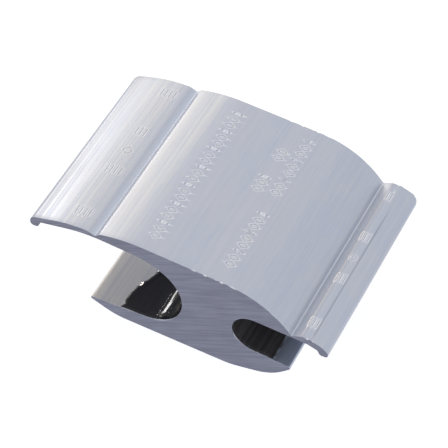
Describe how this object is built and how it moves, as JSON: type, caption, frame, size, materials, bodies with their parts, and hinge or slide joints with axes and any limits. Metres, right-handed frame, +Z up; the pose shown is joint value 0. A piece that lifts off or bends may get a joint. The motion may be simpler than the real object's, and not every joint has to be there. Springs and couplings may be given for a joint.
{
  "type": "compression tap connector",
  "caption": "H-section extruded aluminium compression connector that joins a large and a small overhead conductor, lying side by side in its two greased grooves.",
  "frame": {"origin": "under the middle of the bounding box, on the flat base", "axes": "+X across the section, from the main groove's mouth to the tap groove's mouth; +Y along the conductors; +Z up, from the base to the crown"},
  "size_m": [0.0882, 0.059, 0.0341],
  "materials": {
    "aluminium": "as extruded, satin, with fine die lines",
    "jointing_compound": "wet gloss"
  },
  "bodies": {
    "root": {"clamp_body": "aluminium", "main_groove_compound": "jointing_compound", "tap_groove_compound": "jointing_compound"}
  },
  "joints": []
}
